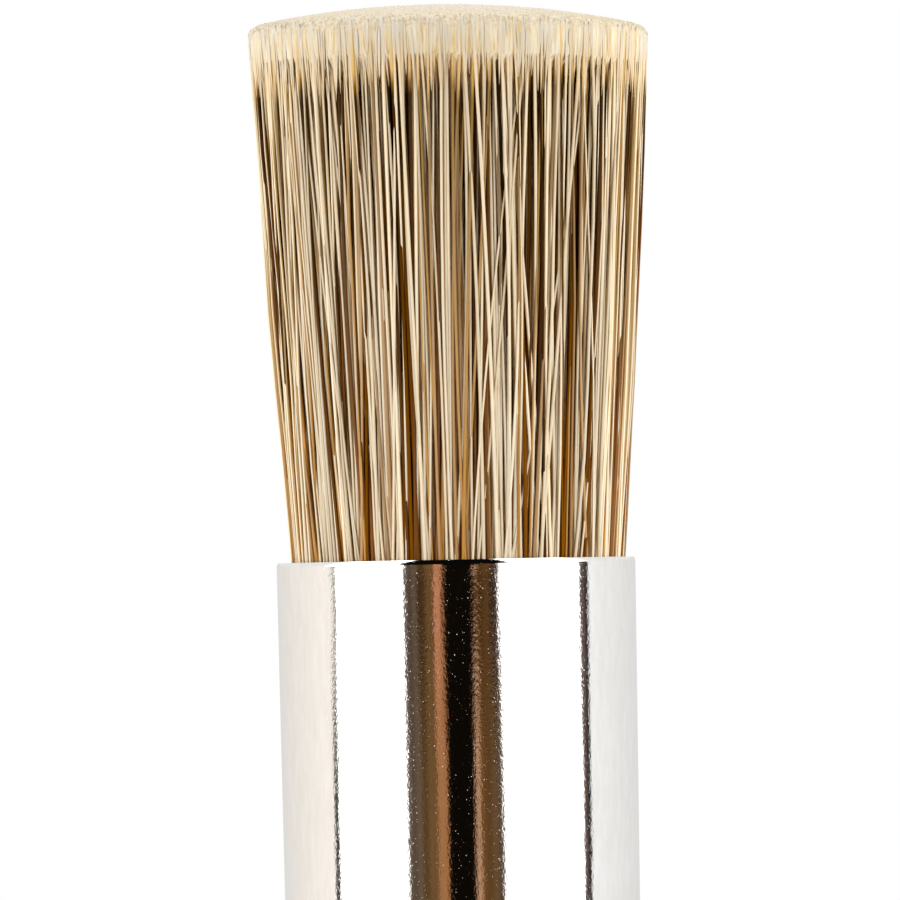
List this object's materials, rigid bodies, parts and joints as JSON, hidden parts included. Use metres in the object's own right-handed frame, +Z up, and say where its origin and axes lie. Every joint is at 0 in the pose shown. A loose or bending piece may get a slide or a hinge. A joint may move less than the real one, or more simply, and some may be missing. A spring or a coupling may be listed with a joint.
{
  "type": "round stencil brush",
  "caption": "Round brush for stencilling: a dense, flared, domed bristle head in a plated metal ferrule on a short turned wooden handle.",
  "frame": {"origin": "centre of the handle's flat butt, which the brush stands on", "axes": "+Z up the brush's axis, from the butt to the bristle tips; Y along the hanging hole, with -Y the front"},
  "size_m": [0.0244, 0.0244, 0.152],
  "materials": {
    "lacquered_beech": "clear gloss lacquer over fine straight grain",
    "nickel_plate": "bright nickel plate with a fine grain",
    "nail_steel": "plain bright steel",
    "cured_resin": "cured amber epoxy",
    "packed_bristle": "closely packed fibre ends and sides",
    "cream_bristle": "smooth tapered fibre, satin",
    "brown_bristle": "smooth tapered fibre, satin",
    "amber_bristle": "smooth tapered fibre, satin"
  },
  "bodies": {
    "root": {"handle": "lacquered_beech", "ferrule": "nickel_plate", "ferrule_nails": "nail_steel", "resin_plug": "cured_resin", "bristle_core": "packed_bristle", "cream_filaments": "cream_bristle", "brown_filaments": "brown_bristle", "amber_filaments": "amber_bristle"}
  },
  "joints": []
}
